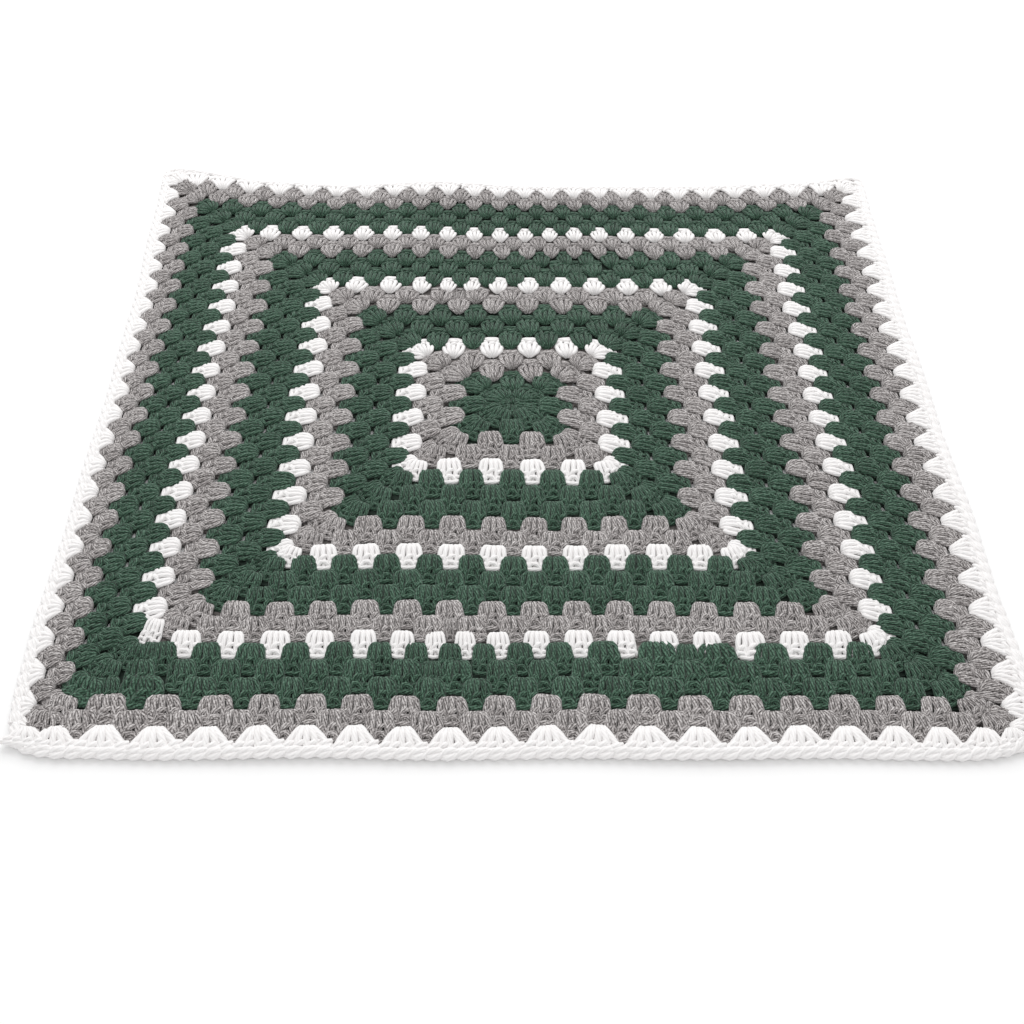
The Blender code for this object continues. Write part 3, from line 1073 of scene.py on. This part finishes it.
def ground_tree():
    inputs = (
        ("Thickness", "Float"),
        ("Floor", "Float"),
        ("Slit Sides", "Int"),
        ("Material", "Material"),
    )
    tree, source, output = new_tree("sheet with slits", inputs)
    given = source.outputs
    outline = feed(tree, tree.nodes.new("GeometryNodeMeshToCurve"), Mesh=given["Geometry"])
    ring = feed(tree, tree.nodes.new("GeometryNodeCurvePrimitiveCircle"),
                Resolution=given["Slit Sides"], Radius=1.0)
    turn = feed(tree, tree.nodes.new("FunctionNodeEulerToRotation"),
                Euler=attribute(tree, "turn", "FLOAT_VECTOR"))
    slits = feed(tree, tree.nodes.new("GeometryNodeInstanceOnPoints"), Points=given["Geometry"],
                 Selection=attribute(tree, "slit", "BOOLEAN"), Instance=ring.outputs["Curve"],
                 Rotation=turn.outputs["Rotation"],
                 Scale=attribute(tree, "stretch", "FLOAT_VECTOR"))
    real = feed(tree, tree.nodes.new("GeometryNodeRealizeInstances"),
                Geometry=slits.outputs["Instances"])
    lines = tree.nodes.new("GeometryNodeJoinGeometry")
    tree.links.new(real.outputs["Geometry"], lines.inputs["Geometry"])
    tree.links.new(outline.outputs["Curve"], lines.inputs["Geometry"])
    filled = feed(tree, add_node(tree, "GeometryNodeFillCurve", mode="TRIANGLES"),
                  Curve=lines.outputs["Geometry"])
    offset = tree.nodes.new("ShaderNodeCombineXYZ")
    tree.links.new(given["Floor"], offset.inputs["Z"])
    level = feed(tree, tree.nodes.new("GeometryNodeSetPosition"), Geometry=filled.outputs["Mesh"],
                 Offset=offset.outputs["Vector"])
    rise = tree.nodes.new("ShaderNodeCombineXYZ")
    tree.links.new(given["Thickness"], rise.inputs["Z"])
    walls = feed(tree, tree.nodes.new("GeometryNodeExtrudeMesh"), Mesh=level.outputs["Geometry"],
                 Offset=rise.outputs["Vector"], Offset_Scale=1.0, Individual=False)
    under = feed(tree, tree.nodes.new("GeometryNodeFlipFaces"), Mesh=level.outputs["Geometry"])
    both = tree.nodes.new("GeometryNodeJoinGeometry")
    tree.links.new(walls.outputs["Mesh"], both.inputs["Geometry"])
    tree.links.new(under.outputs["Mesh"], both.inputs["Geometry"])
    closed = feed(tree, tree.nodes.new("GeometryNodeMergeByDistance"),
                  Geometry=both.outputs["Geometry"], Distance=MERGE_DISTANCE)
    finish_tree(tree, closed.outputs["Geometry"], given["Material"], output)
    return tree


GROUND_TREE = ground_tree()
print("ground tree with", len(GROUND_TREE.nodes), "nodes")

# %% The ground's material
# Painted shade: each band's ground is painted much darker than its yarn, since only shade is seen
# between the strands. At the rim the ground is only a little darker than the white yarn.
GROUND_PAINTED_SHADES = {
    "green": (0.006, 0.017, 0.010),
    "grey": (0.115, 0.104, 0.099),
    "white": (0.30, 0.28, 0.27),
}
RIM_SHADE = (0.80, 0.77, 0.76)
GROUND_ROUGHNESS = 0.95
GROUND_WAVES = 400.0
GROUND_RELIEF = 0.001
GROUND_BUMP = 0.8


def ground_material():
    """The back of the stitches in each band's yarn colour, made darker by painted shade between the
    strands.
    """
    material = bpy.data.materials.new("back of the stitches")
    material.use_nodes = True
    tree = material.node_tree
    shader = tree.nodes["Principled BSDF"]
    place = tree.nodes.new("ShaderNodeTexCoord").outputs["Object"]
    centred = feed(tree, add_node(tree, "ShaderNodeMapping", vector_type="POINT"), Vector=place,
                   Location=(*MIDDLE, 0.0))
    parts = tree.nodes.new("ShaderNodeSeparateXYZ")
    tree.links.new(centred.outputs["Vector"], parts.inputs["Vector"])
    across = math_node(tree, "ABSOLUTE", parts.outputs["X"])
    deep = math_node(tree, "ABSOLUTE", parts.outputs["Y"])
    share = math_node(tree, "DIVIDE", math_node(tree, "MAXIMUM", across, deep), OUTER)
    stops = [(reach(rounds[0] - 1) / OUTER, GROUND_PAINTED_SHADES[colour]) for colour, rounds in BANDS]
    stops[-1] = (stops[-1][0], RIM_SHADE)
    banded = ramp(tree, share, stops)
    banded.node.color_ramp.interpolation = "CONSTANT"
    tree.links.new(banded, shader.inputs["Base Color"])
    shader.inputs["Roughness"].default_value = GROUND_ROUGHNESS
    fibres = feed(tree, tree.nodes.new("ShaderNodeTexNoise"), Vector=place, Scale=GROUND_WAVES,
                  Detail=3.0)
    bump = feed(tree, tree.nodes.new("ShaderNodeBump"), Strength=GROUND_BUMP,
                Distance=GROUND_RELIEF, Height=fibres.outputs["Fac"])
    tree.links.new(bump.outputs["Normal"], shader.inputs["Normal"])
    return material


GROUND_BACK = ground_material()
print("material", GROUND_BACK.name)

ground = grow("ground_of_the_cloth", ground_seed(), GROUND_TREE, Thickness=GROUND_THICKNESS,
              Floor=GROUND_FLOOR, Slit_Sides=SLIT_SIDES, Material=GROUND_BACK)
settle(ground)

# %% [markdown]
# ## Floor and light
# The blanket lies on a plain white surface under broad soft light, as in a studio. A large lamp
# behind the far edge, as high as it is far, gives each cluster a soft shade on its near side, and a
# pale world fills in.

# %% Floor
FLOOR_SIZE = 12.0
FLOOR_COLOUR = (0.93, 0.93, 0.93, 1.0)
FLOOR_ROUGHNESS = 0.9
FLOOR_SPECULAR = 0.1

floor_mesh = bmesh.new()
bmesh.ops.create_grid(floor_mesh, x_segments=1, y_segments=1, size=FLOOR_SIZE / 2)
floor_data = bpy.data.meshes.new("floor")
floor_mesh.to_mesh(floor_data)
floor_mesh.free()
floor = bpy.data.objects.new("floor", floor_data)
bpy.context.scene.collection.objects.link(floor)
floor_material = bpy.data.materials.new("white surface")
floor_material.use_nodes = True
floor_shader = floor_material.node_tree.nodes["Principled BSDF"]
floor_shader.inputs["Base Color"].default_value = FLOOR_COLOUR
floor_shader.inputs["Roughness"].default_value = FLOOR_ROUGHNESS
floor_shader.inputs["Specular IOR Level"].default_value = FLOOR_SPECULAR
floor_data.materials.append(floor_material)
print("floor", FLOOR_SIZE, "m wide")

# %% Lamp, world and view
LAMP_PLACE = (-0.15, 2.1, 2.1)
LAMP_SIZE = 3.0
LAMP_POWER = 58.0
WORLD_STRENGTH = 0.84

lamp_data = bpy.data.lights.new("soft lamp", "AREA")
lamp_data.size = LAMP_SIZE
lamp_data.energy = LAMP_POWER
lamp = bpy.data.objects.new("soft lamp", lamp_data)
bpy.context.scene.collection.objects.link(lamp)
lamp.location = LAMP_PLACE
lamp.rotation_euler = (-Vector(LAMP_PLACE)).to_track_quat("-Z", "Y").to_euler()

world = bpy.data.worlds.new("studio")
world.use_nodes = True
background = world.node_tree.nodes["Background"]
background.inputs["Color"].default_value = (1.0, 1.0, 1.0, 1.0)
background.inputs["Strength"].default_value = WORLD_STRENGTH
bpy.context.scene.world = world
bpy.context.scene.view_settings.view_transform = "Standard"
print("lamp", LAMP_SIZE, "m wide, world strength", WORLD_STRENGTH)

# %% Remove the patterns and count the triangles
for collection in (cluster_patterns, open_patterns, link_patterns):
    for pattern in list(collection.objects):
        bpy.data.objects.remove(pattern)
    bpy.data.collections.remove(collection)

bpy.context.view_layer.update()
pieces = bands + [edging, ground]
corner_counts = [len(polygon.vertices) for piece in pieces for polygon in piece.data.polygons]
print("triangles in all", sum(count - 2 for count in corner_counts))
